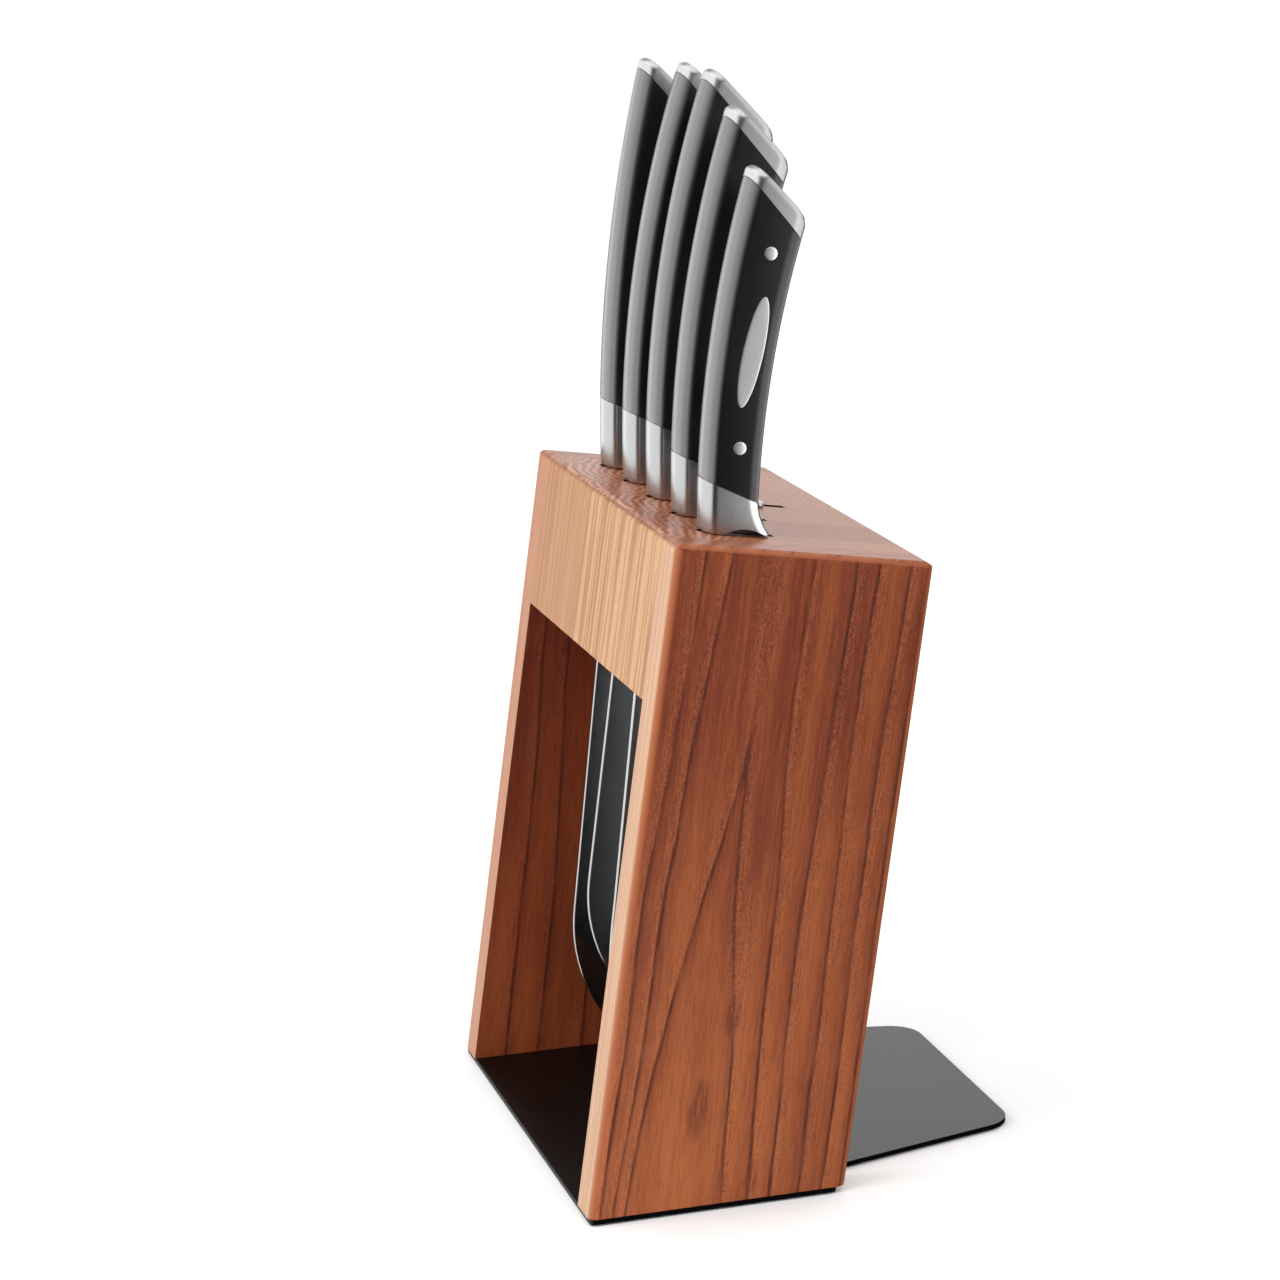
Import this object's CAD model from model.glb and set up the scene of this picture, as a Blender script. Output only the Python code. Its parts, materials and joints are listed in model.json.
import json
import math
from collections import namedtuple

import bmesh
import bpy
import numpy as np
from mathutils import Matrix, Vector


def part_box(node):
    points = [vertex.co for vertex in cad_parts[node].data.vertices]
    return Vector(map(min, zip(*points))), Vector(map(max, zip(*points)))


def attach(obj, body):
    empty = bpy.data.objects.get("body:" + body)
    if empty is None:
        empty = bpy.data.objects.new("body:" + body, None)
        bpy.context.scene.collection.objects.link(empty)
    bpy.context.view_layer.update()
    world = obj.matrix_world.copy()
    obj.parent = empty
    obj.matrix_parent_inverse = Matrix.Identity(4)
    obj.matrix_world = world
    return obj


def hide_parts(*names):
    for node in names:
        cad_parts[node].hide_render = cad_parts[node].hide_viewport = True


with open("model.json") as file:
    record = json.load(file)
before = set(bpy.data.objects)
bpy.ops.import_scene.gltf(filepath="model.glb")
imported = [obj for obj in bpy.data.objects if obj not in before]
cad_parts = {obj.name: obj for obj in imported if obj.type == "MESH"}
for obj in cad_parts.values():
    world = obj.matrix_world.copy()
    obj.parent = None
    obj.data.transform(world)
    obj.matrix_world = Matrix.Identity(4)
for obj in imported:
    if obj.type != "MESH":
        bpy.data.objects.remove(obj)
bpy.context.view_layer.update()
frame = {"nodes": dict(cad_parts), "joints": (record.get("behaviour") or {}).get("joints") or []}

# ---- directions and places, from the frame ----

MM = 0.001
LIFT = Vector(frame["joints"][0]["axis"]).normalized()      # the way a knife comes out
BACK = Vector((0, LIFT.z, -LIFT.y))                         # square to the block's back face
RIGHT = Vector((1, 0, 0))
LEAN = math.atan2(-LIFT.y, LIFT.z)


def reach(node, way):
    """Largest coordinate of a CAD node along a direction."""
    return max(v.co.dot(way) for v in frame["nodes"][node].data.vertices)


TOP_BACK_EDGE = BACK * reach("stave_1", BACK) + LIFT * reach("stave_1", LIFT)

# ---- knives: driving sizes, in mm ----

# as in the CAD model, but the large santoku's grip is 1 mm shorter; lip is how thick the heel's lip is
Knife = namedtuple("Knife", "grip_l grip_h spine_r bolster_h tilt "
                            "blade_l spine taper heel tip_drop tip_r belly_r lip")
KNIVES = {
    "santoku_large": Knife(129, 22.6, 500, 20.6, 2, 193, 18.3, 0, 51, 25, 54, 60, 1.3),
    "santoku_small": Knife(130.3, 22.6, 370, 21, 0, 174, 17.2, 0.014, 55.6, 29, 50, 60, 1.6),
    "carving": Knife(130.3, 22.8, 370, 22, 0, 188, 15.8, 0.033, 50.5, 9, 190, 110, 1.3),
    "utility": Knife(121.5, 19.6, 370, 17.4, 0, 150, 15.6, 0.02, 41.5, 7, 190, 100, 0.9),
    "paring": Knife(106.6, 18.3, 370, 14.8, 0, 90, 14.9, 0.015, 34.9, 6, 110, 80, 0.9),
}
SLOT_START = 13.8
REST_GAP = 0.3
SPINE_LOW = 0.48             # share of a grip's length at which its spine bows most
WAIST = 0.36                 # share at which its belly does
WAIST_R = 320                # bow of a grip's belly
GRIP_BACK = SLOT_START + 0.6
GRIP_T = 13.4
GRIP_R = 4.0                 # rounding of the belly's long edges
SPINE_CROWN_R = 12           # gentle bow across the spine face
SPINE_CORNER_R = 3.0         # tighter corner from the spine face to the flats
CROWN = 0.32                 # how much each flat bulges
JOINT_SLOPE = -18            # joint between bolster and handle, in degrees
CAP_SLOPE = -42.5            # joint between handle and cap
BUTT_SLOPE = -39             # end face of the cap
CAP_T = 5.5
BUTT_BACK = GRIP_BACK + 2.2
BUTT_R = (1.6, 5.0)          # corners of the butt, at the spine and at the belly
END_R = 0.6                  # rounding round the cap's end face
CHAMFER = 0.14               # fine edge at each joint
SPINE_T = 2.5                # blade thickness at the spine
EDGE_T = 0.5                 # blade thickness above the cutting bevel
SCOOP_R = 12                 # thumb scoops under the heel
SCOOP_H = 2.1
SCOOP_IN = 8.2               # from the heel to a scoop's middle
SEAT_R = 0.25                # fine rounding round a bolster's seat
FLARE_TOP = 3.5              # from the top of a bolster's spine down to where its flare starts
TANG_SIDES = (5, 15)         # how far the tang's sides lie behind the grip's spine
SHARP = 32                   # edges steeper than this stay sharp, in degrees
RIVET_R = 2.0
RIVET_SHARES = (0.24, 0.772)  # places of the rivets along a grip
BADGE_HALF = (3.1, 16.3)     # half sizes of the paring knife's oval inlays; the others grow with the grip
BADGE_SHARE = 0.503
BADGE_TILT = -5.4            # in degrees


def side_frame(name):
    """Matrix to the world from a knife's side frame, in mm: depth from the back face, height, thickness."""
    lo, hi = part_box(name + "_blade")
    place = Matrix.Translation(TOP_BACK_EDGE + RIGHT * (lo.x + hi.x) / 2)
    turn = Matrix((-BACK, LIFT, -RIGHT)).transposed().to_4x4()
    tilt = Matrix.Rotation(math.radians(KNIVES[name].tilt), 4, "Z")
    seat = Matrix.Translation((SLOT_START, REST_GAP, 0))
    return place @ turn @ Matrix.Scale(MM, 4) @ seat @ tilt @ Matrix.Translation((-SLOT_START, 0, 0))


def spine_low(k):
    """Height and depth at which the grip's spine bows most."""
    y = SPINE_LOW * k.grip_l
    return y, GRIP_BACK - y * y / (2 * k.spine_r)


def spine_at(k, y):
    """Depth of a grip's spine at a height."""
    low_y, low_x = spine_low(k)
    return low_x + k.spine_r - math.sqrt(k.spine_r ** 2 - (y - low_y) ** 2)


def belly_at(k, y):
    """Depth of a grip's belly at a height, without the flare."""
    waist_y = WAIST * k.grip_l
    waist_x = spine_low(k)[1] + k.grip_h
    return waist_x + WAIST_R - math.sqrt(WAIST_R ** 2 - (y - waist_y) ** 2)


def direction(degrees):
    return np.array((math.cos(math.radians(degrees)), math.sin(math.radians(degrees))))


def arc(centre, r, a0, a1, n):
    return [np.array(centre) + r * direction(a0 + (a1 - a0) * i / n) for i in range(n + 1)]


def rounded_corner(p, q, s, r):
    """Arc that rounds the corner at q, between p and s."""
    u = (p - q) / np.linalg.norm(p - q)
    v = (s - q) / np.linalg.norm(s - q)
    half = math.acos(float(u @ v)) / 2
    c = q + (u + v) / np.linalg.norm(u + v) * r / math.sin(half)
    start, end = q + u * r / math.tan(half) - c, q + v * r / math.tan(half) - c
    a0 = math.degrees(math.atan2(start[1], start[0]))
    turn = (math.degrees(math.atan2(end[1], end[0])) - a0 + 180) % 360 - 180
    return arc(c, r, a0, a0 + turn, 14)


def grip_outline(k):
    """Side view of a grip, as an open line: up the spine, over the butt and down the belly."""
    top = np.array((BUTT_BACK, k.grip_l))
    steps = np.linspace(-2, k.grip_l + 6, 120)
    spine = [np.array((spine_at(k, y), y)) for y in steps]
    belly = [np.array((belly_at(k, y), y)) for y in steps[::-1]]
    along = direction(BUTT_SLOPE)

    def above(p):
        return float(np.cross(along, p - top)) > 0

    spine = [p for p in spine if not above(p)]
    belly = [p for p in belly if not above(p)]

    def meet(p, q):
        """Where the line from p to q crosses the butt."""
        share = np.cross(along, top - p) / np.cross(along, q - p)
        return p + (q - p) * share

    corner_s, corner_b = meet(spine[-2], spine[-1]), meet(belly[1], belly[0])
    first = rounded_corner(spine[-8], corner_s, corner_b, BUTT_R[0])
    second = rounded_corner(corner_s, corner_b, belly[8], BUTT_R[1])
    spine = [p for p in spine if p[1] < first[0][1]]
    belly = [p for p in belly if p[1] < second[-1][1]]
    return np.array(spine + first + second + belly)


def chord(outline, base, slope):
    """The two ends of the line through base, at that slope, inside an outline."""
    along = direction(slope)
    rel = outline - base
    away = rel[:, 1] * along[0] - rel[:, 0] * along[1]
    hits = []
    for i in range(len(outline) - 1):
        if (away[i] > 0) != (away[i + 1] > 0):
            share = away[i] / (away[i] - away[i + 1])
            hits.append(outline[i] + share * (outline[i + 1] - outline[i]))
    hits.sort(key=lambda p: float(p @ along))
    return hits[0], hits[-1]


# ---- lofted sections ----

def half_profile(width, half_t, r, cos_row, tight):
    """One side of a section: distances along the row, and half thicknesses, from the spine to the belly."""
    t0 = half_t - CROWN
    r = min(r, t0)
    corner = min(SPINE_CORNER_R, t0) - tight
    bow = max(SPINE_CROWN_R, 2 * t0)
    turn = math.asin((t0 - corner) / (bow - corner))
    bowed = np.linspace(0, turn, 8)[:-1]
    tight_turn = np.linspace(turn, math.pi / 2, 10)
    belly = np.linspace(math.pi / 2, 0, 10)
    s = [bow * (1 - np.cos(bowed)) / cos_row,
         (bow * (1 - math.cos(turn)) + corner * (math.cos(turn) - np.cos(tight_turn))) / cos_row]
    t = [bow * np.sin(bowed), bow * math.sin(turn) + corner * (np.sin(tight_turn) - math.sin(turn))]
    on_flat, on_belly = 15, 4
    s.append(np.linspace(s[-1][-1], width - r / cos_row, on_flat + 2)[1:-1])
    t.append(np.full(on_flat, t0))
    s.append(width - r * (1 - np.cos(belly)) / cos_row)
    t.append(t0 - r + r * np.sin(belly))
    s.append(np.full(on_belly, width))
    t.append(np.linspace(0, t0 - r, on_belly + 1)[:-1][::-1])
    s, t = np.concatenate(s), np.concatenate(t)
    t = t * (1 + CROWN / t0 * (1 - (2 * s / width - 1) ** 2))
    return s, t


def section(p, q, half_t=GRIP_T / 2, inset=0.0):
    """Closed loop of points round a grip on the row from p, at the spine, to q, at the belly."""
    e = (q - p) / np.linalg.norm(q - p)
    cos_row = max(0.6, e[0])
    p, q = p + e * inset / cos_row, q - e * inset / cos_row
    width = np.linalg.norm(q - p)
    s, t = half_profile(width, half_t - inset, GRIP_R - inset, cos_row, inset)
    s, t = np.concatenate([s, s[-2:0:-1]]), np.concatenate([t, -t[-2:0:-1]])
    return np.column_stack([p[0] + e[0] * s, p[1] + e[1] * s, t])


def lerp(a, b, f):
    return a + (b - a) * f


def loft(mesh, rows):
    """Adds quads between closed rows of the same number of points to a bmesh, and closes its ends."""
    rings = [[mesh.verts.new(p) for p in row] for row in rows]
    n = len(rings[0])
    for lower, upper in zip(rings, rings[1:]):
        for j in range(n):
            mesh.faces.new((lower[j], lower[(j + 1) % n], upper[(j + 1) % n], upper[j]))
    mesh.faces.new(rings[0][::-1])
    mesh.faces.new(rings[-1])
    return mesh


def object_from(mesh, name, matrix=None):
    """Makes an object from a bmesh, with outward normals and edges kept sharp past an angle."""
    bmesh.ops.recalc_face_normals(mesh, faces=mesh.faces)
    if matrix is not None:
        bmesh.ops.transform(mesh, matrix=matrix, verts=mesh.verts)
    data = bpy.data.meshes.new(name)
    mesh.to_mesh(data)
    mesh.free()
    obj = bpy.data.objects.new(name, data)
    bpy.context.scene.collection.objects.link(obj)
    shade(obj)
    return obj


def shade(obj):
    """Smooth shading, but for sharp edges."""
    obj.data.shade_smooth()
    obj.data.set_sharp_from_angle(angle=math.radians(SHARP))


def boolean(obj, tool, operation):
    """Applies an exact boolean, and removes the tool object."""
    modifier = obj.modifiers.new("cut", "BOOLEAN")
    modifier.operation = operation
    modifier.solver = "EXACT"
    modifier.object = tool
    result = bpy.data.meshes.new_from_object(obj.evaluated_get(bpy.context.evaluated_depsgraph_get()))
    obj.modifiers.clear()
    obj.data = result
    bpy.data.objects.remove(tool)


# ---- the parts of a knife ----

def bolster_rows(k):
    """Rows from the seat on the wood up to the slanted joint, flaring to the heel."""
    flare_y = k.bolster_h - FLARE_TOP
    gain = k.heel - belly_at(k, k.lip)
    joint = chord(grip_outline(k), np.array((GRIP_BACK, k.bolster_h)), JOINT_SLOPE)
    long_flare = gain > 8
    rows = []
    count = 26
    for i in range(count + 1):
        f = i / count
        p_y = lerp(0, joint[0][1], f)
        q_y = lerp(0, joint[1][1], f ** 1.25)
        p = np.array((spine_at(k, p_y), p_y))
        sink = max(0.0, flare_y - max(q_y, k.lip)) / (flare_y - k.lip)
        if long_flare:
            bulge = 1 - math.sqrt(max(0.0, 1 - sink ** 2))
        else:
            bulge = sink ** 2 * (0.72 + 0.28 * sink)
        q = np.array((belly_at(k, q_y) + gain * bulge, q_y))
        rows.append((p, q))
    return rows


def bolster_mesh(k):
    """Bolster, from its finely rounded seat to a fine chamfer at the joint."""
    rows = bolster_rows(k)
    p, q = rows[0]
    loops = [section(p, q, inset=SEAT_R),
             section(p, q, inset=SEAT_R * 0.3) + (0, SEAT_R * 0.3, 0),
             section(p, q) + (0, SEAT_R, 0)]
    loops += [section(p, q) for p, q in rows[2:-1]]
    p, q = rows[-1]
    loops.append(section(p, q) - (0, CHAMFER, 0))
    loops.append(section(p, q, inset=CHAMFER))
    return loft(bmesh.new(), loops)


def handle_mesh(k):
    """Grip between its two slanted joints, with a fine chamfer at each."""
    outline = grip_outline(k)
    count = 56
    loops = []
    for i in range(count + 1):
        f = i / count
        base = np.array((lerp(GRIP_BACK, BUTT_BACK, f), lerp(k.bolster_h, k.grip_l - CAP_T, f)))
        p, q = chord(outline, base, lerp(JOINT_SLOPE, CAP_SLOPE, f))
        if i == 0:
            loops.append(section(p, q, inset=CHAMFER))
            loops.append(section(p, q) + (0, CHAMFER, 0))
        elif i == count:
            loops.append(section(p, q) - (0, CHAMFER, 0))
            loops.append(section(p, q, inset=CHAMFER))
        else:
            loops.append(section(p, q))
    return loft(bmesh.new(), loops)


def cap_mesh(k):
    """Steel cap, rounded over to a slightly domed end face."""
    outline = grip_outline(k)
    inward = np.array((math.sin(math.radians(BUTT_SLOPE)), -math.cos(math.radians(BUTT_SLOPE))))
    joint, top = np.array((BUTT_BACK, k.grip_l - CAP_T)), np.array((BUTT_BACK, k.grip_l))
    p, q = chord(outline, joint, CAP_SLOPE)
    loops = [section(p, q, inset=CHAMFER), section(p, q) + (0, CHAMFER, 0)]
    turned = 0.6
    for f in np.linspace(0.12, turned, 7):
        p, q = chord(outline, lerp(joint, top, f), lerp(CAP_SLOPE, BUTT_SLOPE, f / turned))
        loops.append(section(p, q))
    for phi in np.radians((15, 30, 45, 58, 70, 80, 88)):
        depth = END_R * (1 - math.sin(phi))
        p, q = chord(outline, top + inward * max(depth, 0.004), BUTT_SLOPE)
        loops.append(section(p, q, half_t=GRIP_T / 2 - END_R * (1 - math.cos(phi))))
    rim = loops[-1]
    centre = rim.mean(axis=0)
    dome = np.append(-inward, 0) * 0.25
    for f in (0.9, 0.72, 0.5, 0.26):
        loops.append(centre + (rim - centre) * f + dome * (1 - f ** 2))
    return loft(bmesh.new(), loops)


def blade_mesh(k):
    """Blade from inside the bolster to its point: rounded spine, flat taper and a cutting bevel."""
    tip_turn = math.degrees(math.acos(1 - k.tip_drop / k.tip_r))
    straight = k.blade_l - k.tip_r * math.sin(math.radians(tip_turn))
    spine = k.spine + k.taper * straight
    rise = k.heel - spine - k.tip_drop
    edge_turn = math.degrees(math.acos(1 - rise / k.belly_r))
    spine_line = [np.array((k.spine, 3.0))]
    spine_line += arc((spine + k.tip_r, k.tip_r * math.sin(math.radians(tip_turn)) - k.blade_l),
                      k.tip_r, 180, 180 + tip_turn, 60)
    edge_line = [np.array((k.heel, 3.0))]
    edge_line += arc((k.heel - k.belly_r, k.belly_r * math.sin(math.radians(edge_turn)) - k.blade_l),
                     k.belly_r, 0, -edge_turn, 60)
    s_pts, e_pts = np.array(spine_line)[::-1], np.array(edge_line)[::-1]
    point = 0.12             # share of the length with closer sections
    shares = np.concatenate([np.linspace(0, point, 26), np.linspace(point, 1, 46)[1:]])
    shares = 0.004 + 0.996 * shares
    loops = []
    for share in shares:
        y = -k.blade_l + share * (k.blade_l + 0.6)
        x0, x1 = np.interp(y, s_pts[:, 1], s_pts[:, 0]), np.interp(y, e_pts[:, 1], e_pts[:, 0])
        width = x1 - x0
        t = SPINE_T / 2 * min(1, 0.45 + 0.75 * share)
        grind = min(6.0, 0.3 * width)
        bevel = min(1.1, 0.2 * width)
        round_r = min(0.7, 0.1 * width, 0.9 * t)
        s = [0, 0, 0.134 * round_r, 0.5 * round_r, round_r, round_r + 0.03]
        half = [0, t - round_r, t - 0.5 * round_r, t - 0.134 * round_r, t, t]
        for f in np.linspace(0, 1, 7):
            s.append(lerp(grind, width - bevel, f))
            half.append(lerp(t, EDGE_T / 2, f))
        s += [width - bevel + 0.03, width]
        half += [EDGE_T / 2 - 0.01, 0.05]
        s, half = np.array(s), np.array(half)
        s, half = np.concatenate([s, s[:0:-1]]), np.concatenate([half, -half[:0:-1]])
        loops.append(np.column_stack([x0 + s, np.full(len(s), y), half]))
    return loft(bmesh.new(), loops)


def tang_mesh(k):
    """Plain tang, inside the grip, from the bolster to the cap."""
    t = SPINE_T / 2
    loops = []
    for y in np.linspace(k.bolster_h - 8, k.grip_l - 10, 24):
        x0, x1 = (spine_at(k, y) + side for side in TANG_SIDES)
        corners = [(x0, -t), (x1, -t), (x1, t), (x0, t)]
        loops.append(np.array([(x, y, z) for x, z in corners]))
    return loft(bmesh.new(), loops)


def scoop_mesh(k):
    """Cutter for the thumb scoops at the heel, one on each side of the blade's thickness."""
    mesh = bmesh.new()
    ring = arc((k.heel - SCOOP_IN, SCOOP_H - SCOOP_R), SCOOP_R, 0, 360, 120)[:-1]
    for low, high in ((SPINE_T / 2, GRIP_T), (-GRIP_T, -SPINE_T / 2)):
        loft(mesh, [np.array([(*p, z) for p in ring]) for z in (low, high)])
    return mesh


def forging(name):
    """Blade, bolster and tang: one forging. Its material slots: bolster, blade, web between the scoops."""
    k = KNIVES[name]
    obj = object_from(bolster_mesh(k), name + "_blade_visual")
    boolean(obj, object_from(scoop_mesh(k), "scoop"), "DIFFERENCE")
    boolean(obj, object_from(blade_mesh(k), "blade_plate"), "UNION")
    boolean(obj, object_from(tang_mesh(k), "tang"), "UNION")
    for face in obj.data.polygons:
        on_web = abs(face.center.z) < SPINE_T / 2 + 0.02 and abs(face.normal.z) > 0.9
        if face.center.y < -0.5 * REST_GAP:
            face.material_index = 1
        elif face.center.y < SCOOP_H + 0.1 and on_web:
            face.material_index = 2
    obj.data.transform(side_frame(name))
    shade(obj)
    return obj


def grip_mid(k, y):
    """Depth of the line that rivets and inlays lie on, just past the grip's middle."""
    return 0.8 + (spine_at(k, y) + belly_at(k, y)) / 2


def oval(x, y, half_w, half_l, tilt, z, n):
    """Closed loop of points round an ellipse."""
    points = []
    for a in np.linspace(0, 2 * math.pi, n, endpoint=False):
        u, v = half_w * math.cos(a), half_l * math.sin(a)
        points.append((x + u * math.cos(tilt) - v * math.sin(tilt),
                       y + u * math.sin(tilt) + v * math.cos(tilt), z))
    return np.array(points)


def rivet_mesh(k):
    """Two pins through the grip, with low domed heads."""
    mesh = bmesh.new()
    half = GRIP_T / 2 + 0.06
    head = [(0.25, 0.135), (0.5, 0.11), (0.75, 0.065), (0.9, 0.02), (1, -0.1)]
    rings = [(share * RIVET_R, half + up) for share, up in head]
    rings += [(r, -z) for r, z in rings[::-1]]
    for share in RIVET_SHARES:
        y = share * k.grip_l
        loft(mesh, [oval(grip_mid(k, y), y, r, r, 0, z, 48) for r, z in rings])
    return mesh


def badge_mesh(k):
    """Plain oval inlays with a fine rounded rim, one in each flat of the grip."""
    mesh = bmesh.new()
    half_w, half_l = (half * k.grip_l / KNIVES["paring"].grip_l for half in BADGE_HALF)
    y = BADGE_SHARE * k.grip_l
    x = grip_mid(k, y) + 0.6
    tilt = math.radians(BADGE_TILT)
    profile = [(0, -0.6), (0, -0.02), (0.03, 0.04), (0.12, 0.075), (0.3, 0.085), (1.2, 0.095), (2.4, 0.1)]
    for side in (1, -1):
        loft(mesh, [oval(x, y, half_w - inset, half_l - inset, tilt, side * (GRIP_T / 2 + up), 96)
                    for inset, up in profile])
    return mesh


# ---- materials ----

class Nodes:
    """Short helper that adds and links shader nodes."""

    def __init__(self, name):
        self.material = bpy.data.materials.new(name)
        self.material.use_nodes = True
        self.tree = self.material.node_tree
        self.tree.nodes.clear()

    def add(self, kind, inputs=None, **settings):
        """Adds a node. An input that is a socket is linked, and any other is set."""
        node = self.tree.nodes.new(kind)
        for key, value in settings.items():
            setattr(node, key, value)
        for key, value in (inputs or {}).items():
            socket = node.inputs[key]
            if isinstance(value, bpy.types.NodeSocket):
                self.tree.links.new(value, socket)
            else:
                socket.default_value = value
        return node

    def math(self, operation, a, b=0.0):
        return self.add("ShaderNodeMath", {0: a, 1: b}, operation=operation).outputs[0]

    def mix(self, factor, a, b):
        """Blend of two colours; inputs 6 and 7 are the colour sockets of the node."""
        return self.add("ShaderNodeMix", {0: factor, 6: a, 7: b}, data_type="RGBA").outputs[2]

    def range(self, value, a, b, c=0.0, d=1.0, smooth=False):
        kind = "SMOOTHSTEP" if smooth else "LINEAR"
        return self.add("ShaderNodeMapRange", {0: value, 1: a, 2: b, 3: c, 4: d},
                        interpolation_type=kind).outputs[0]

    def noise(self, vector, scale, detail=2.0, rough=0.5):
        return self.add("ShaderNodeTexNoise", {"Vector": vector, "Scale": scale, "Detail": detail,
                                               "Roughness": rough}).outputs[0]

    def grain_coords(self, squeeze=(1, 1, 1)):
        """Position in mm, turned so that z runs along the lean, and scaled along each axis."""
        position = self.add("ShaderNodeTexCoord").outputs["Object"]
        turned = self.add("ShaderNodeVectorRotate", {"Vector": position, "Angle": -LEAN},
                          rotation_type="X_AXIS").outputs[0]
        scale = [s / MM for s in squeeze]
        mapping = self.add("ShaderNodeMapping", {"Vector": turned, "Scale": scale})
        return mapping.outputs[0]

    def surface(self, **inputs):
        names = {key.replace("_", " "): value for key, value in inputs.items()}
        shader = self.add("ShaderNodeBsdfPrincipled", names)
        self.add("ShaderNodeOutputMaterial", {"Surface": shader.outputs[0]})
        return self.material

    def bump(self, height, distance, strength=1.0):
        return self.add("ShaderNodeBump", {"Height": height, "Distance": distance,
                                           "Strength": strength}).outputs[0]


def srgb(r, g, b):
    """Linear colour from 0-255 display values."""
    def lin(c):
        c /= 255
        return c / 12.92 if c <= 0.04045 else ((c + 0.055) / 1.055) ** 2.4
    return (lin(r), lin(g), lin(b), 1)


def satin_steel(name, base, rough, grain=1.0, flats=1.0):
    """Brushed steel: fine lines along the grip and a faint cloud in its sheen. Flats can be darker."""
    m = Nodes(name)
    fine = m.noise(m.grain_coords(squeeze=(14, 14, 0.35)), 1.0, 2.0, 0.5)
    soft = m.noise(m.grain_coords(squeeze=(0.15, 0.15, 0.06)), 1.0, 2.0)
    roughness = m.math("ADD", m.range(fine, 0.3, 0.7, rough - 0.02 * grain, rough + 0.03 * grain),
                       m.range(soft, 0.3, 0.7, -0.015, 0.015))
    colour = m.mix(m.range(fine, 0.3, 0.7), tuple(c * (1 - 0.1 * grain) for c in base[:3]) + (1,), base)
    if flats < 1:
        colour = m.mix(facing(m, RIGHT, 0.6, 0.98), colour, tuple(c * flats for c in base[:3]) + (1,))
    return m.surface(Base_Color=colour, Metallic=1.0, Roughness=roughness,
                     Normal=m.bump(fine, 0.000004, 0.12 * grain))


def moulded_black(name):
    """Dense black grip with a satin sheen and a trace of fine texture."""
    m = Nodes(name)
    pebble = m.noise(m.grain_coords(squeeze=(4, 4, 4)), 1.0, 2.0, 0.55)
    cloud = m.noise(m.grain_coords(squeeze=(0.1, 0.1, 0.04)), 1.0, 3.0)
    colour = m.mix(cloud, srgb(5, 5, 6), srgb(9, 9, 10))
    roughness = m.range(cloud, 0.3, 0.7, 0.29, 0.33)
    return m.surface(Base_Color=colour, Roughness=roughness, IOR=1.55,
                     Normal=m.bump(pebble, 0.000008, 0.25))


def powder_black(name):
    """Fine matt powder coat on the plate."""
    m = Nodes(name)
    grains = m.noise(m.grain_coords(squeeze=(2.4, 2.4, 2.4)), 1.0, 3.0, 0.6)
    cloud = m.noise(m.grain_coords(squeeze=(0.03, 0.03, 0.03)), 1.0, 3.0)
    colour = m.mix(cloud, srgb(5, 6, 7), srgb(9, 10, 11))
    return m.surface(Base_Color=colour, Roughness=m.range(grains, 0.3, 0.7, 0.36, 0.42),
                     Specular_IOR_Level=0.2, Normal=m.bump(grains, 0.00002, 0.4))


def rubber(name):
    """Dark rough sheet under the plate."""
    m = Nodes(name)
    grains = m.noise(m.grain_coords(squeeze=(1.5, 1.5, 1.5)), 1.0, 3.0, 0.6)
    colour = m.mix(grains, srgb(28, 28, 28), srgb(44, 44, 44))
    return m.surface(Base_Color=colour, Roughness=m.range(grains, 0.3, 0.7, 0.75, 0.9),
                     Normal=m.bump(grains, 0.00005, 0.5))


TOP = reach("stave_1", LIFT) / MM            # height of the block's top face along the lean, in mm
REAR = reach("stave_1", BACK) / MM           # place of its back face, in mm
GRAIN_SPAN = 200                             # length along the grain that growth lines are given for
DEEPEST = 100                                # no line lies deeper than this


def facing(m, way, low, high):
    """0 to 1 as a surface turns to face along a direction, either way round."""
    normal = m.add("ShaderNodeTexCoord").outputs["Normal"]
    dot = m.add("ShaderNodeVectorMath", {0: normal, 1: way}, operation="DOT_PRODUCT").outputs["Value"]
    return m.range(m.math("ABSOLUTE", dot), low, high, smooth=True)


def track(m, along, values):
    """A depth that runs smoothly through values at even steps along the grain."""
    node = m.add("ShaderNodeFloatCurve", {"Value": m.range(along, 0, GRAIN_SPAN)})
    curve = node.mapping.curves[0]
    curve.points[0].location = (0, values[0] / DEEPEST)
    curve.points[1].location = (1, values[-1] / DEEPEST)
    for n, value in enumerate(values[1:-1], 1):
        curve.points.new(n / (len(values) - 1), value / DEEPEST)
    node.mapping.update()
    return m.math("MULTIPLY", node.outputs[0], DEEPEST)


Line = namedtuple("Line", "side start depths")
Spot = namedtuple("Spot", "depth along half_depth half_along")


def growth_lines(m, depth, along, lines):
    """Late wood, the line that ends each ring, and the pores that start the next."""
    late = line = pores = None
    for one in lines:
        off = m.math("SUBTRACT", depth, track(m, along, one.depths))
        if one.side < 0:
            off = m.math("MULTIPLY", off, -1)
        kinds = [m.math("MULTIPLY", m.range(off, -6, -0.3, smooth=True), m.range(off, 0.25, -0.1)),
                 m.math("MULTIPLY", m.range(off, -1.3, -0.25, smooth=True), m.range(off, 0.4, 0.0)),
                 m.math("MULTIPLY", m.range(off, -0.2, 0.5), m.range(off, 4.2, 0.6, smooth=True))]
        if one.start:
            shown = m.range(along, one.start - 4, one.start + 16, smooth=True)
            kinds = [m.math("MULTIPLY", kind, shown) for kind in kinds]
        if late:
            kinds = [m.math("MAXIMUM", old, new) for old, new in zip((late, line, pores), kinds)]
        late, line, pores = kinds
    return late, line, pores


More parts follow.
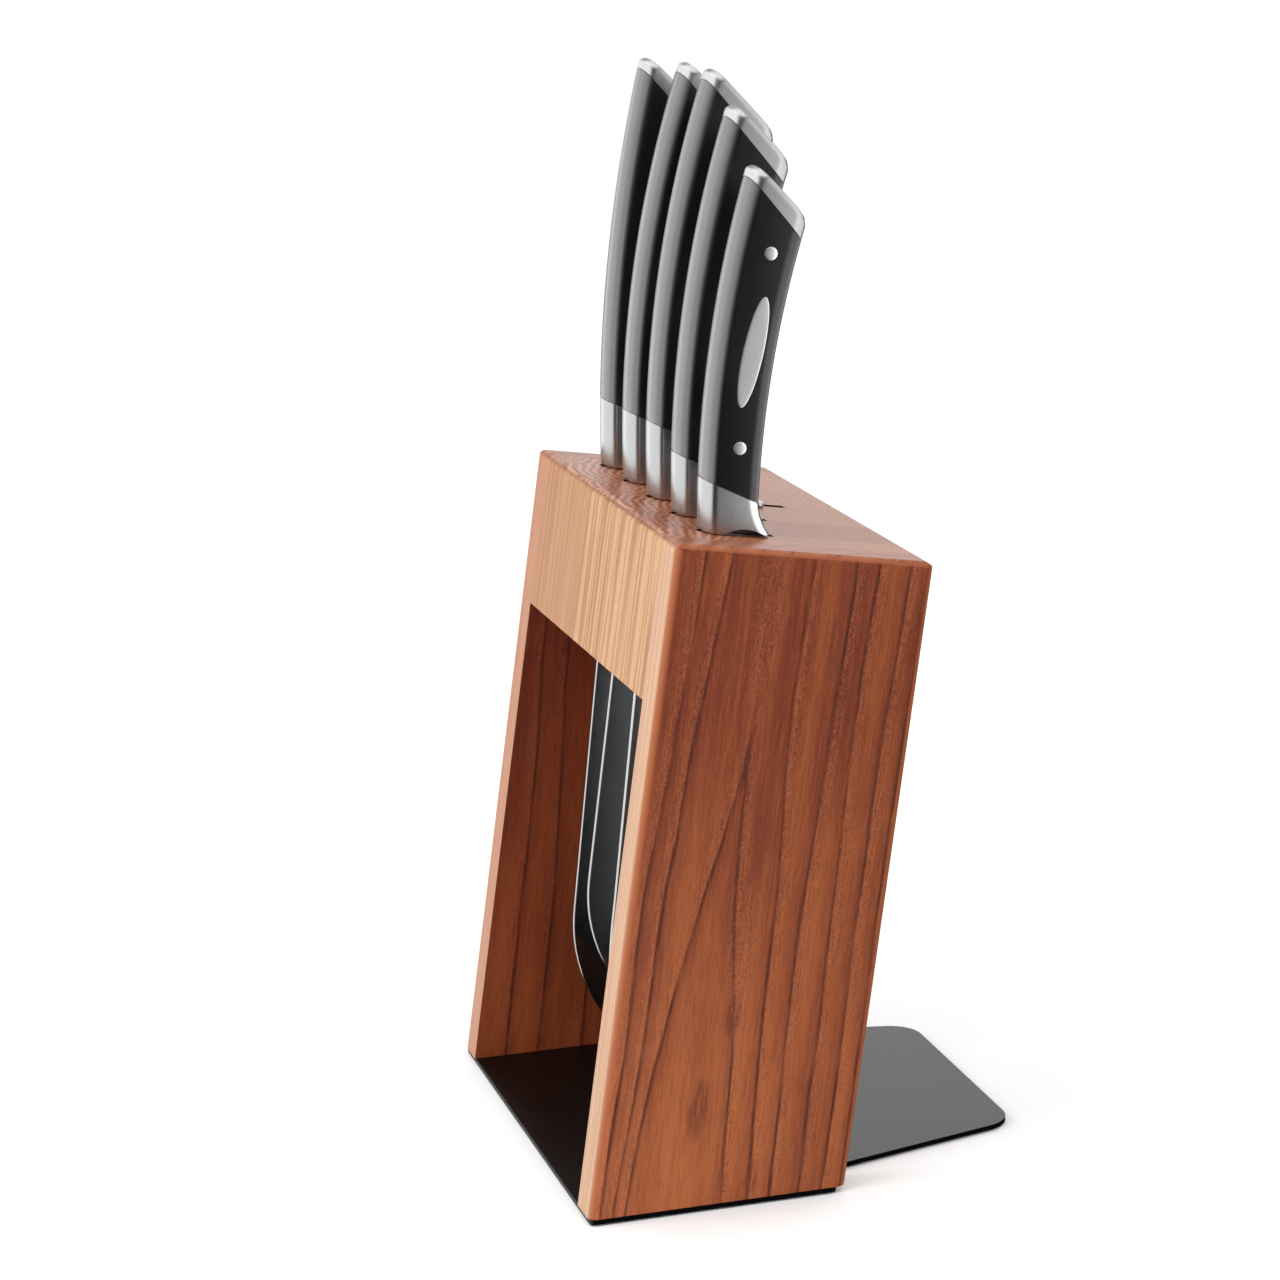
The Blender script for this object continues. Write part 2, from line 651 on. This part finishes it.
def spots_at(m, depth, along, spots):
    """Soft oval patches on a face."""
    total = None
    for spot in spots:
        du = m.math("DIVIDE", m.math("SUBTRACT", depth, spot.depth), spot.half_depth)
        dv = m.math("DIVIDE", m.math("SUBTRACT", along, spot.along), spot.half_along)
        away = m.math("ADD", m.math("MULTIPLY", du, du), m.math("MULTIPLY", dv, dv))
        patch = m.range(away, 1.0, 0.1, smooth=True)
        total = m.math("MAXIMUM", total, patch) if total else patch
    return total


def solid_wood(name, lines, face, edge, end, stripe, seed, calm_from=1000, smudges=(), porous=(), thread=0):
    """Ring-porous wood. Faces show its growth lines, edges fine stripes, and the ends arcs."""
    m = Nodes(name)
    at = m.grain_coords()

    def stretched(x, z, detail=3.0, rough=0.55, shift=0.0):
        mapped = m.add("ShaderNodeMapping", {"Vector": at, "Scale": (x, x, z),
                                             "Location": (seed + shift, shift, seed)}).outputs[0]
        return m.noise(mapped, 1.0, detail, rough)

    x, y, z = m.add("ShaderNodeSeparateXYZ", {0: at}).outputs
    along = m.math("SUBTRACT", TOP, z)
    depth = m.math("SUBTRACT", REAR, y)
    sway = m.range(stretched(0.03, 0.01, 2.0), 0, 1, -2, 2)
    flutter = m.range(stretched(0.5, 0.035, 3.0, shift=7), 0, 1, -0.7, 0.7)
    warped = m.math("ADD", depth, m.math("ADD", sway, flutter))
    late, line, band = growth_lines(m, warped, along, lines)
    if porous:
        band = m.math("MAXIMUM", band, m.math("MULTIPLY", spots_at(m, warped, along, porous), 0.8))

    cloud = stretched(0.06, 0.012, 2.0, shift=3)
    fibre = stretched(2.0, 0.1, 4.0, 0.7)
    dots = stretched(3.4, 1.15, 2.0, 0.6, shift=11)
    streak = stretched(0.22, 0.006, 2.0, shift=17)
    patch = m.range(stretched(0.3, 0.04, 2.0, shift=5), 0.35, 0.6)
    down = m.range(along, 50, 210)
    front = m.range(depth, 0, 80)

    # faces
    tone = m.mix(down, face["top"], face["low"])
    tone = m.mix(m.math("MULTIPLY", front, m.range(cloud, 0.3, 0.7, 0.25, 0.8)), tone, face["front"])
    tone = m.mix(m.range(cloud, 0.62, 0.35, 0, 0.5), tone, face["deep"])
    tone = m.mix(m.range(streak, 0.42, 0.68, 0, 0.55), tone, face["front"])
    if smudges:
        smudge = m.math("MULTIPLY", spots_at(m, warped, along, smudges), m.range(fibre, 0.3, 0.6, 0.2, 0.6))
        tone = m.mix(smudge, tone, face["vein"])
    tone = m.mix(m.math("MULTIPLY", late, 0.4), tone, face["deep"])
    tone = m.mix(m.math("MULTIPLY", line, m.range(patch, 0, 1, 0.35, 0.85)), tone, face["vein"])
    tone = m.mix(m.math("MULTIPLY", band, 0.1), tone, face["lift"])
    speck = m.math("MULTIPLY", m.range(band, 0, 1, 0.12, 1), m.range(dots, 0.53, 0.63, 0, 0.6))
    hole = m.math("MULTIPLY", m.range(band, 0, 1, 0.2, 1), m.range(dots, 0.45, 0.36, 0, 0.5))
    tone = m.mix(speck, tone, face["lift"])
    tone = m.mix(hole, tone, face["vein"])
    tone = m.mix(m.range(fibre, 0.47, 0.7, 0, 0.4), tone, face["vein"])
    tone = m.mix(m.range(fibre, 0.47, 0.3, 0, 0.3), tone, face["lift"])

    # edges at the back and front
    rung = m.math("ADD", m.math("DIVIDE", x, stripe), m.range(stretched(0.16, 0.005, 2.0), 0, 1, -1.7, 1.7))
    wave = m.math("SINE", m.math("MULTIPLY", rung, 2 * math.pi))
    ribbon = m.range(m.math("ADD", wave, m.range(stretched(0.6, 0.012, 2.0), 0, 1, -1.3, 1.3)), -1.0, 1.2)
    calm = m.range(x, calm_from - 1.5, calm_from + 1.5)
    ribbon = m.math("MULTIPLY", ribbon, m.range(calm, 0, 1, 1, 0.45))
    ribbon = m.math("ADD", ribbon, m.range(calm, 0, 1, 0, 0.5))
    side = m.mix(ribbon, edge["light"], edge["dark"])
    side = m.mix(m.range(fibre, 0.35, 0.7, 0, 0.45), side, edge["dark"])
    side = m.mix(m.range(dots, 0.42, 0.3, 0, 0.5), side, edge["vein"])
    if thread:
        wander = m.range(stretched(0.02, 0.03, 2.0, shift=23), 0, 1, thread - 4, thread + 4)
        off = m.math("SUBTRACT", x, wander)
        side = m.mix(m.range(m.math("ABSOLUTE", off), 0.8, 0.2, 0, 0.6), side, edge["vein"])

    # end grain: arcs round a pith of its own in each stave
    if end["stave"]:
        stave = m.math("FLOOR", m.math("DIVIDE", x, end["stave"]))
        chance = m.add("ShaderNodeTexWhiteNoise", {"W": stave}, noise_dimensions="1D").outputs["Value"]
        pith_x = m.math("MULTIPLY", m.math("ADD", stave, m.range(chance, 0, 1, 0.2, 0.8)), end["stave"])
        pith_y = m.range(chance, 0, 1, REAR - 46, REAR + 14)
        tint = m.range(m.math("FRACT", m.math("MULTIPLY", chance, 7)), 0, 1, 0, 0.85)
    else:
        pith_x, pith_y, tint = -120.0, 0.0, 0.0
    dx, dy = m.math("SUBTRACT", x, pith_x), m.math("SUBTRACT", y, pith_y)
    radius = m.math("SQRT", m.math("ADD", m.math("MULTIPLY", dx, dx), m.math("MULTIPLY", dy, dy)))
    radius = m.math("ADD", radius, m.range(stretched(0.08, 0.08, 2.0), 0, 1, -3, 3))
    ring = m.math("FRACT", m.math("DIVIDE", radius, end["ring"]))
    calmed = m.range(depth, 14, 34, 1, 0.25, smooth=True)
    ring_tone = m.range(ring, 0.15, 0.75, -0.5, 0.5, smooth=True)
    ring_tone = m.math("ADD", m.math("MULTIPLY", ring_tone, calmed), 0.4)
    across = m.mix(ring_tone, end["light"], end["dark"])
    across = m.mix(tint, across, end["dark"])
    pits = m.math("MULTIPLY", m.range(ring, 0.4, 0.05), m.range(stretched(2.4, 2.4, 2.0), 0.55, 0.45))
    across = m.mix(pits, across, end["vein"])

    colour = m.mix(facing(m, BACK, 0.55, 0.95), tone, side)
    rim = m.math("MULTIPLY", facing(m, BACK, 0.15, 0.6), facing(m, RIGHT, 0.15, 0.6))
    colour = m.mix(m.math("MULTIPLY", rim, 0.8), colour, edge["rim"])
    crest = m.math("MULTIPLY", facing(m, LIFT, 0.45, 0.65), facing(m, RIGHT, 0.45, 0.65))
    upward = facing(m, LIFT, 0.45, 0.9)
    colour = m.mix(upward, colour, across)
    colour = m.mix(m.math("MULTIPLY", crest, 0.4), colour, face["lift"])
    rough = m.math("SUBTRACT", m.range(fibre, 0.3, 0.7, 0.38, 0.46), m.math("MULTIPLY", upward, 0.12))
    height = m.math("SUBTRACT", m.math("MULTIPLY", fibre, 0.35), m.math("MULTIPLY", hole, 0.8))
    return m.surface(Base_Color=colour, Roughness=rough, Specular_IOR_Level=0.3,
                     Normal=m.bump(height, 0.00004, 0.3))


def dress(node, material):
    """Gives a carried-over CAD node its material."""
    frame["nodes"][node].material_slots[0].material = material


steel = satin_steel("satin_steel", (0.48, 0.49, 0.5, 1), 0.29)
recess_steel = satin_steel("recess_steel", (0.13, 0.13, 0.135, 1), 0.36)
cap_steel = satin_steel("cap_steel", (0.6, 0.605, 0.61, 1), 0.35)
blade_steel = satin_steel("blade_steel", (0.5, 0.51, 0.515, 1), 0.15, 0.4, flats=0.85)
bright_steel = satin_steel("bright_steel", (0.62, 0.62, 0.615, 1), 0.38, 0.8)
screw_steel = satin_steel("screw_steel", (0.5, 0.5, 0.5, 1), 0.35)
grip_black = moulded_black("grip_polymer")
plate_black = powder_black("plate_black")
mat_rubber = rubber("mat_rubber")

# ---- pieces ----

PARTS = {
    "handle": (handle_mesh, grip_black, "grip_polymer"),
    "cap": (cap_mesh, cap_steel, "steel"),
    "rivets": (rivet_mesh, bright_steel, "rivet_steel"),
    "badges": (badge_mesh, bright_steel, "rivet_steel"),
}
steels, caps, other_steels, grips = (bpy.data.collections.new(name)
                                     for name in ("steels", "caps", "other_steels", "grips"))
for knife in KNIVES:
    made = {"blade": (forging(knife), (steel, blade_steel, recess_steel), "steel")}
    for part, (build, material, slot) in PARTS.items():
        obj = object_from(build(KNIVES[knife]), f"{knife}_{part}_visual", side_frame(knife))
        made[part] = (obj, (material,), slot)
    for part, (obj, materials, slot) in made.items():
        for material in materials:
            obj.data.materials.append(material)
        if part == "handle":
            grips.objects.link(obj)
        else:
            steels.objects.link(obj)
            (caps if part == "cap" else other_steels).objects.link(obj)
        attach(obj, knife)
        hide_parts(f"{knife}_{part}")

dress("base_plate", plate_black)
dress("non_slip_sheet", mat_rubber)
dress("plate_screws", screw_steel)

# growth lines of a panel, read down the grain: which way their pores lie, where they start, and their
# depths from the back face, in mm
NEAR_LINES = (Line(-1, 0, (9.4, 7.3, 4.2, 4, 3)), Line(-1, 0, (18, 13.3, 10.7, 9.3, 6.5)),
              Line(-1, 52, (31, 30.5, 23, 14, 10)), Line(1, 52, (31, 30.5, 32, 37.5, 40.5)),
              Line(1, 0, (43, 42, 44.5, 46.5, 49)), Line(1, 0, (55, 54, 53, 54, 55.5)),
              Line(1, 0, (62, 60.5, 62.2, 63.2, 64)), Line(1, 0, (72, 69.8, 70, 71, 71)),
              Line(1, 0, (78, 76.2, 76.1, 77, 77)))
FAR_LINES = (Line(-1, 0, (5, 6, 8, 9, 10)), Line(-1, 0, (12, 14, 17, 20, 21)),
             Line(-1, 0, (21, 24, 28, 33, 36)), Line(1, 0, (36, 37, 38, 42, 44)),
             Line(1, 0, (48, 48, 50, 52, 53)), Line(1, 0, (57, 58, 60, 61, 63)),
             Line(1, 0, (69, 70, 70, 72, 73)))
RED_FACE = dict(top=srgb(112, 44, 20), low=srgb(198, 114, 66), front=srgb(158, 82, 36),
                deep=srgb(104, 38, 20), vein=srgb(74, 28, 20), lift=srgb(170, 95, 60))
FAR_FACE = dict(top=srgb(106, 35, 12), low=srgb(164, 84, 44), front=srgb(132, 58, 24),
                deep=srgb(94, 30, 12), vein=srgb(60, 20, 12), lift=srgb(140, 70, 42))
SLOT_FACE = dict(top=srgb(44, 18, 12), low=srgb(44, 18, 12), front=srgb(44, 18, 12),
                 deep=srgb(34, 14, 10), vein=srgb(30, 12, 8), lift=srgb(56, 26, 16))
TAN_EDGE = dict(light=srgb(194, 156, 120), dark=srgb(174, 128, 96), vein=srgb(148, 98, 72),
                rim=srgb(150, 78, 38))
FAR_EDGE = dict(light=srgb(178, 126, 92), dark=srgb(162, 104, 72), vein=srgb(138, 82, 56),
                rim=srgb(150, 78, 38))
STRIPED = dict(light=srgb(194, 152, 104), dark=srgb(152, 94, 52), vein=srgb(130, 76, 44),
               rim=srgb(168, 92, 48))
RED_END = dict(stave=0, ring=7.0, light=srgb(182, 118, 88), dark=srgb(152, 88, 62),
               vein=srgb(104, 50, 38))
PALE_END = dict(stave=26.5, ring=2.6, light=srgb(222, 156, 118), dark=srgb(142, 76, 52),
                vein=srgb(112, 52, 36))
NEAR_SMUDGES = (Spot(36, 139, 3.2, 8), Spot(29, 168, 3.5, 12), Spot(49, 189, 2, 7), Spot(30.5, 64, 2.2, 12))
NEAR_PORES = (Spot(31, 20, 6, 40), Spot(36, 118, 6, 26))
dress("panel_left", solid_wood("near_wood", NEAR_LINES, RED_FACE, TAN_EDGE, RED_END, 2.2, 3.0,
                               smudges=NEAR_SMUDGES, porous=NEAR_PORES))
dress("panel_right", solid_wood("far_wood", FAR_LINES, FAR_FACE, FAR_EDGE, RED_END, 3.1, 40.0))
bridge = solid_wood("bridge_wood", FAR_LINES[:1], SLOT_FACE, STRIPED, PALE_END, 5.6, 11.0, calm_from=14,
                    thread=58)
for node in frame["nodes"]:
    if node.startswith("stave") or "strip" in node:
        dress(node, bridge)

# ---- stage ----

def floor():
    """Plain pale floor just under the part."""
    mesh = bmesh.new()
    bmesh.ops.create_circle(mesh, cap_ends=True, radius=14, segments=96)
    obj = object_from(mesh, "floor", Matrix.Translation((0, 0, -0.0001)))
    m = Nodes("floor_paper")
    grain = m.noise(m.add("ShaderNodeTexCoord").outputs["Object"], 40.0, 2.0)
    paper = m.mix(grain, (0.94, 0.94, 0.94, 1), (0.96, 0.96, 0.96, 1))
    obj.data.materials.append(m.surface(Base_Color=paper, Roughness=0.9, Specular_IOR_Level=0.0))
    obj.visible_glossy = False


def softbox(name, place, aim, size, power):
    """Area light for the general light, left out of reflections."""
    light = bpy.data.lights.new(name, "AREA")
    light.shape = "RECTANGLE"
    light.size, light.size_y = size
    light.energy = power
    obj = bpy.data.objects.new(name, light)
    obj.location = place
    obj.rotation_euler = (Vector(aim) - Vector(place)).to_track_quat("-Z", "Y").to_euler()
    obj.visible_camera = False
    obj.visible_glossy = False
    bpy.context.scene.collection.objects.link(obj)
    return obj


def reflector(name, place, way, size, radiance, shown_on=None):
    """White panel that only shows in reflections, on everything or on one collection."""
    aim = Vector(place) + Vector(way)
    obj = softbox(name, place, aim, size, radiance * math.pi * size[0] * size[1])
    obj.visible_glossy = True
    obj.visible_diffuse = False
    if shown_on:
        obj.light_linking.receiver_collection = shown_on


def sky(diffuse, glossy):
    """Even white light all round, dimmer in reflections so that polished parts keep their dark bands."""
    world = bpy.data.worlds.new("studio")
    bpy.context.scene.world = world
    world.use_nodes = True
    world.cycles.sampling_method = "NONE"
    tree = world.node_tree
    background = tree.nodes["Background"]
    ray = tree.nodes.new("ShaderNodeLightPath")
    strength = tree.nodes.new("ShaderNodeMapRange")
    strength.inputs["To Min"].default_value = diffuse
    strength.inputs["To Max"].default_value = glossy
    tree.links.new(ray.outputs["Is Glossy Ray"], strength.inputs[0])
    tree.links.new(strength.outputs[0], background.inputs[1])
    background.inputs[0].default_value = (1, 1, 1, 1)


floor()
sky(diffuse=1.12, glossy=0.03)
plate = bpy.data.collections.new("plate")
plate.objects.link(frame["nodes"]["base_plate"])
block = bpy.data.collections.new("block")
for obj in frame["nodes"].values():
    if obj.visible_get():
        block.objects.link(obj)
AHEAD, BEHIND, LEFTWARD, RIGHTWARD, DOWN = (1, 0, 0), (-1, 0, 0), (0, 1, 0), (0, -1, 0), (0, 0, -1)
TOWARDS = (-1, 0, -0.25)
reflector("wall_left", (1.5, 1.0, 0.35), RIGHTWARD, (5.1, 2.7), 1.4, steels)
reflector("wall_left_block", (0.95, 1.0, 0.1), RIGHTWARD, (4.0, 2.2), 2.0, block)
reflector("grip_band_near", (0.1, 1.0, 0.1), RIGHTWARD, (1.6, 2.2), 5.0, grips)
reflector("grip_band_far", (2.4, 1.0, 0.1), RIGHTWARD, (3.0, 2.2), 3.3, grips)
reflector("grip_band_back", (3.6, 0.9, -0.2), BEHIND, (2.2, 1.6), 0.5, grips)
reflector("wall_back", (3.6, 0.5, -0.2), BEHIND, (3.0, 1.6), 0.6, steels)
reflector("grip_corner", (-1.5, 1.5, 0.1), AHEAD, (1.4, 1.6), 4.5, grips)
reflector("grip_fade_top", (-1.5, 0.7, 0.65), AHEAD, (0.8, 1.5), 0.9, grips)
reflector("grip_belly_top", (-1.5, -1.15, 0.5), AHEAD, (0.8, 1.2), 3.2, grips)
reflector("wall_right", (-0.8, -1.0, -0.2), LEFTWARD, (2.2, 2.2), 2.8, other_steels)
reflector("cap_right", (-0.8, -1.0, -0.2), LEFTWARD, (2.2, 2.2), 1.15, caps)
reflector("cap_fill", (-2.5, -1.5, -0.3), AHEAD, (1.4, 2.0), 0.7, caps)
reflector("steel_fill", (-2.5, -1.0, -0.3), AHEAD, (1.3, 2.0), 0.3, steels)
reflector("steel_fill_far", (2.5, -1.0, -0.3), BEHIND, (1.3, 2.0), 0.5, steels)
reflector("steel_top", (-0.6, 0.0, 1.8), DOWN, (4.0, 3.0), 1.3, steels)
reflector("plate_sheen", (3.0, -1.3, 1.0), TOWARDS, (3.6, 2.0), 2.35, plate)
reflector("grip_belly", (-0.35, -1.0, -0.2), LEFTWARD, (2.0, 2.0), 1.9, grips)
reflector("wall_far", (3.0, -1.3, 1.0), TOWARDS, (3.6, 2.0), 0.98)
softbox("key", (-0.2, 1.2, 1.1), (0, 0, 0.15), (1.2, 1.2), 12)

# ---- camera: at the photo's viewing angle ----

camera_data = bpy.data.cameras.new("camera")
camera_data.sensor_width = 36
camera_data.lens = 102.25
camera = bpy.data.objects.new("camera", camera_data)
camera.location = (-1.0442, 0.3213, 0.4235)
YAW, PITCH, ROLL = math.radians(15.561), math.radians(13.867), math.radians(-1.679)
ahead = Vector((math.cos(YAW) * math.cos(PITCH), -math.sin(YAW) * math.cos(PITCH), -math.sin(PITCH)))
level = ahead.cross(Vector((0, 0, 1))).normalized()
rise = level.cross(ahead)
across = level * math.cos(ROLL) + rise * math.sin(ROLL)
upright = rise * math.cos(ROLL) - level * math.sin(ROLL)
camera.rotation_euler = Matrix((across, upright, -ahead)).transposed().to_euler()
bpy.context.scene.collection.objects.link(camera)
bpy.context.scene.camera = camera
bpy.context.scene.view_settings.view_transform = "Standard"
